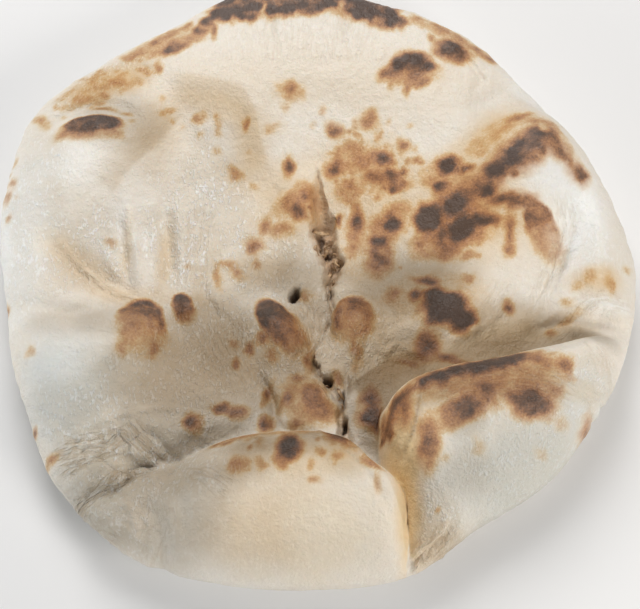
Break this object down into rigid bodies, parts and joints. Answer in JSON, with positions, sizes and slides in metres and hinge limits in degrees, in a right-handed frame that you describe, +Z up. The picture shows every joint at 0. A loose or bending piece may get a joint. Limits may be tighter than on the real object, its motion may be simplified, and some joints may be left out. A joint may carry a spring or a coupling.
{
  "type": "naan",
  "caption": "Large round leavened flatbread, puffed and scorched, with a raised rim, two fat pillows at the front and a torn seam across its low middle.",
  "frame": {"origin": "centre of the plan outline, on the flat underside that the bread rests on", "axes": "+Z up through the bread, +Y from the two pillows at the front towards the plain rim at the back, +X to the right"},
  "size_m": [0.2488, 0.2506, 0.0438],
  "materials": {
    "crust": "creamy white baked dough skin with a fine grain and a slight oily sheen, toasted from pale gold to dark brown in blisters"
  },
  "bodies": {
    "root": {"naan": "crust"}
  },
  "joints": []
}
